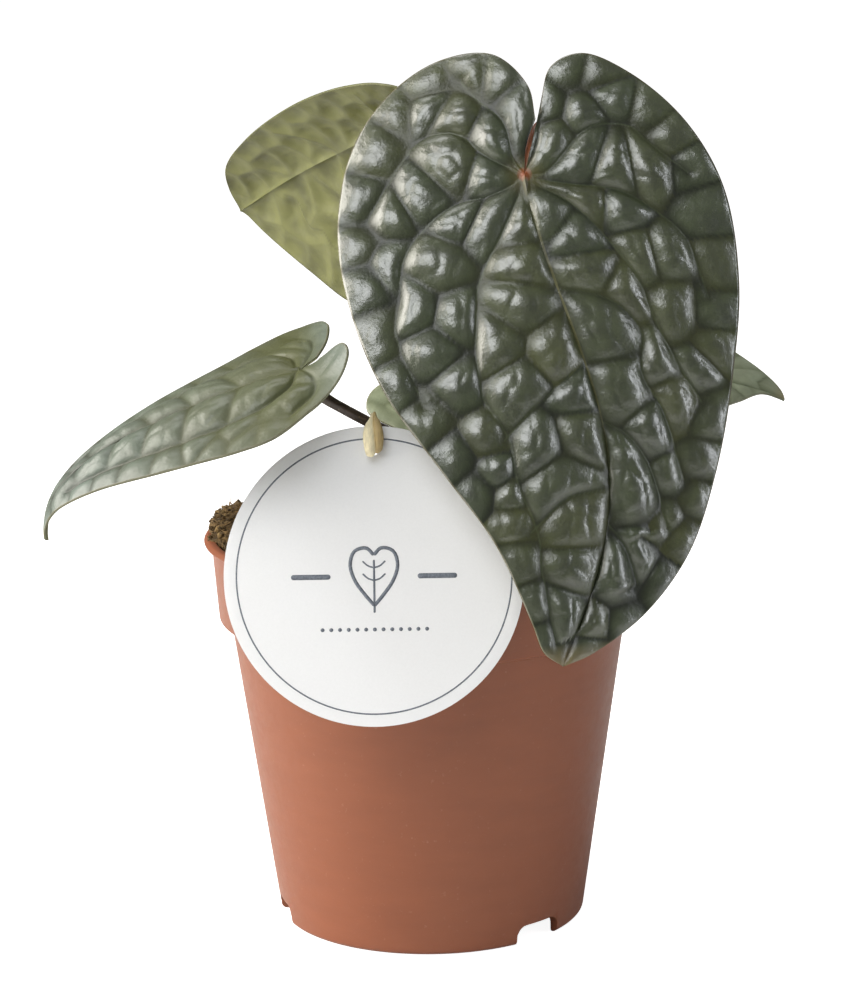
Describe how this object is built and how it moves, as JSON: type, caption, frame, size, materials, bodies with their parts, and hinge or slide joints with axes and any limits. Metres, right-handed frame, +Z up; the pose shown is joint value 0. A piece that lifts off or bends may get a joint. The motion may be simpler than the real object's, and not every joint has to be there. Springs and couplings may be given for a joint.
{
  "type": "potted anthurium luxurians",
  "caption": "Young anthurium with quilted heart-shaped leaves on slim stalks, in a soil-filled nursery pot, with a round card tag tied to one stalk.",
  "frame": {"origin": "where the pot's axis meets the surface it stands on, at the middle of the pot's foot", "axes": "+Z up along the pot's axis, -Y towards the front leaf and the tag, +X to the right seen from the front"},
  "size_m": [0.1971, 0.1423, 0.2362],
  "materials": {
    "pot": "satin",
    "soil": "matte",
    "crown": "matte",
    "blade_front": "gloss",
    "blade_left": "satin",
    "blade_right": "satin",
    "blade_back": "satin",
    "petiole_red": "satin",
    "petiole_dark": "satin",
    "tag": "matte",
    "tie": "matte"
  },
  "bodies": {
    "root": {"pot": "pot", "soil": "soil", "crown": "crown", "blade_front": "blade_front", "blade_left": "blade_left", "blade_right": "blade_right", "blade_back": "blade_back", "petiole_front": "petiole_red", "petiole_left": "petiole_dark", "petiole_right": "petiole_dark", "petiole_back": "petiole_dark", "tag": "tag", "tag_tie": "tie"}
  },
  "joints": []
}
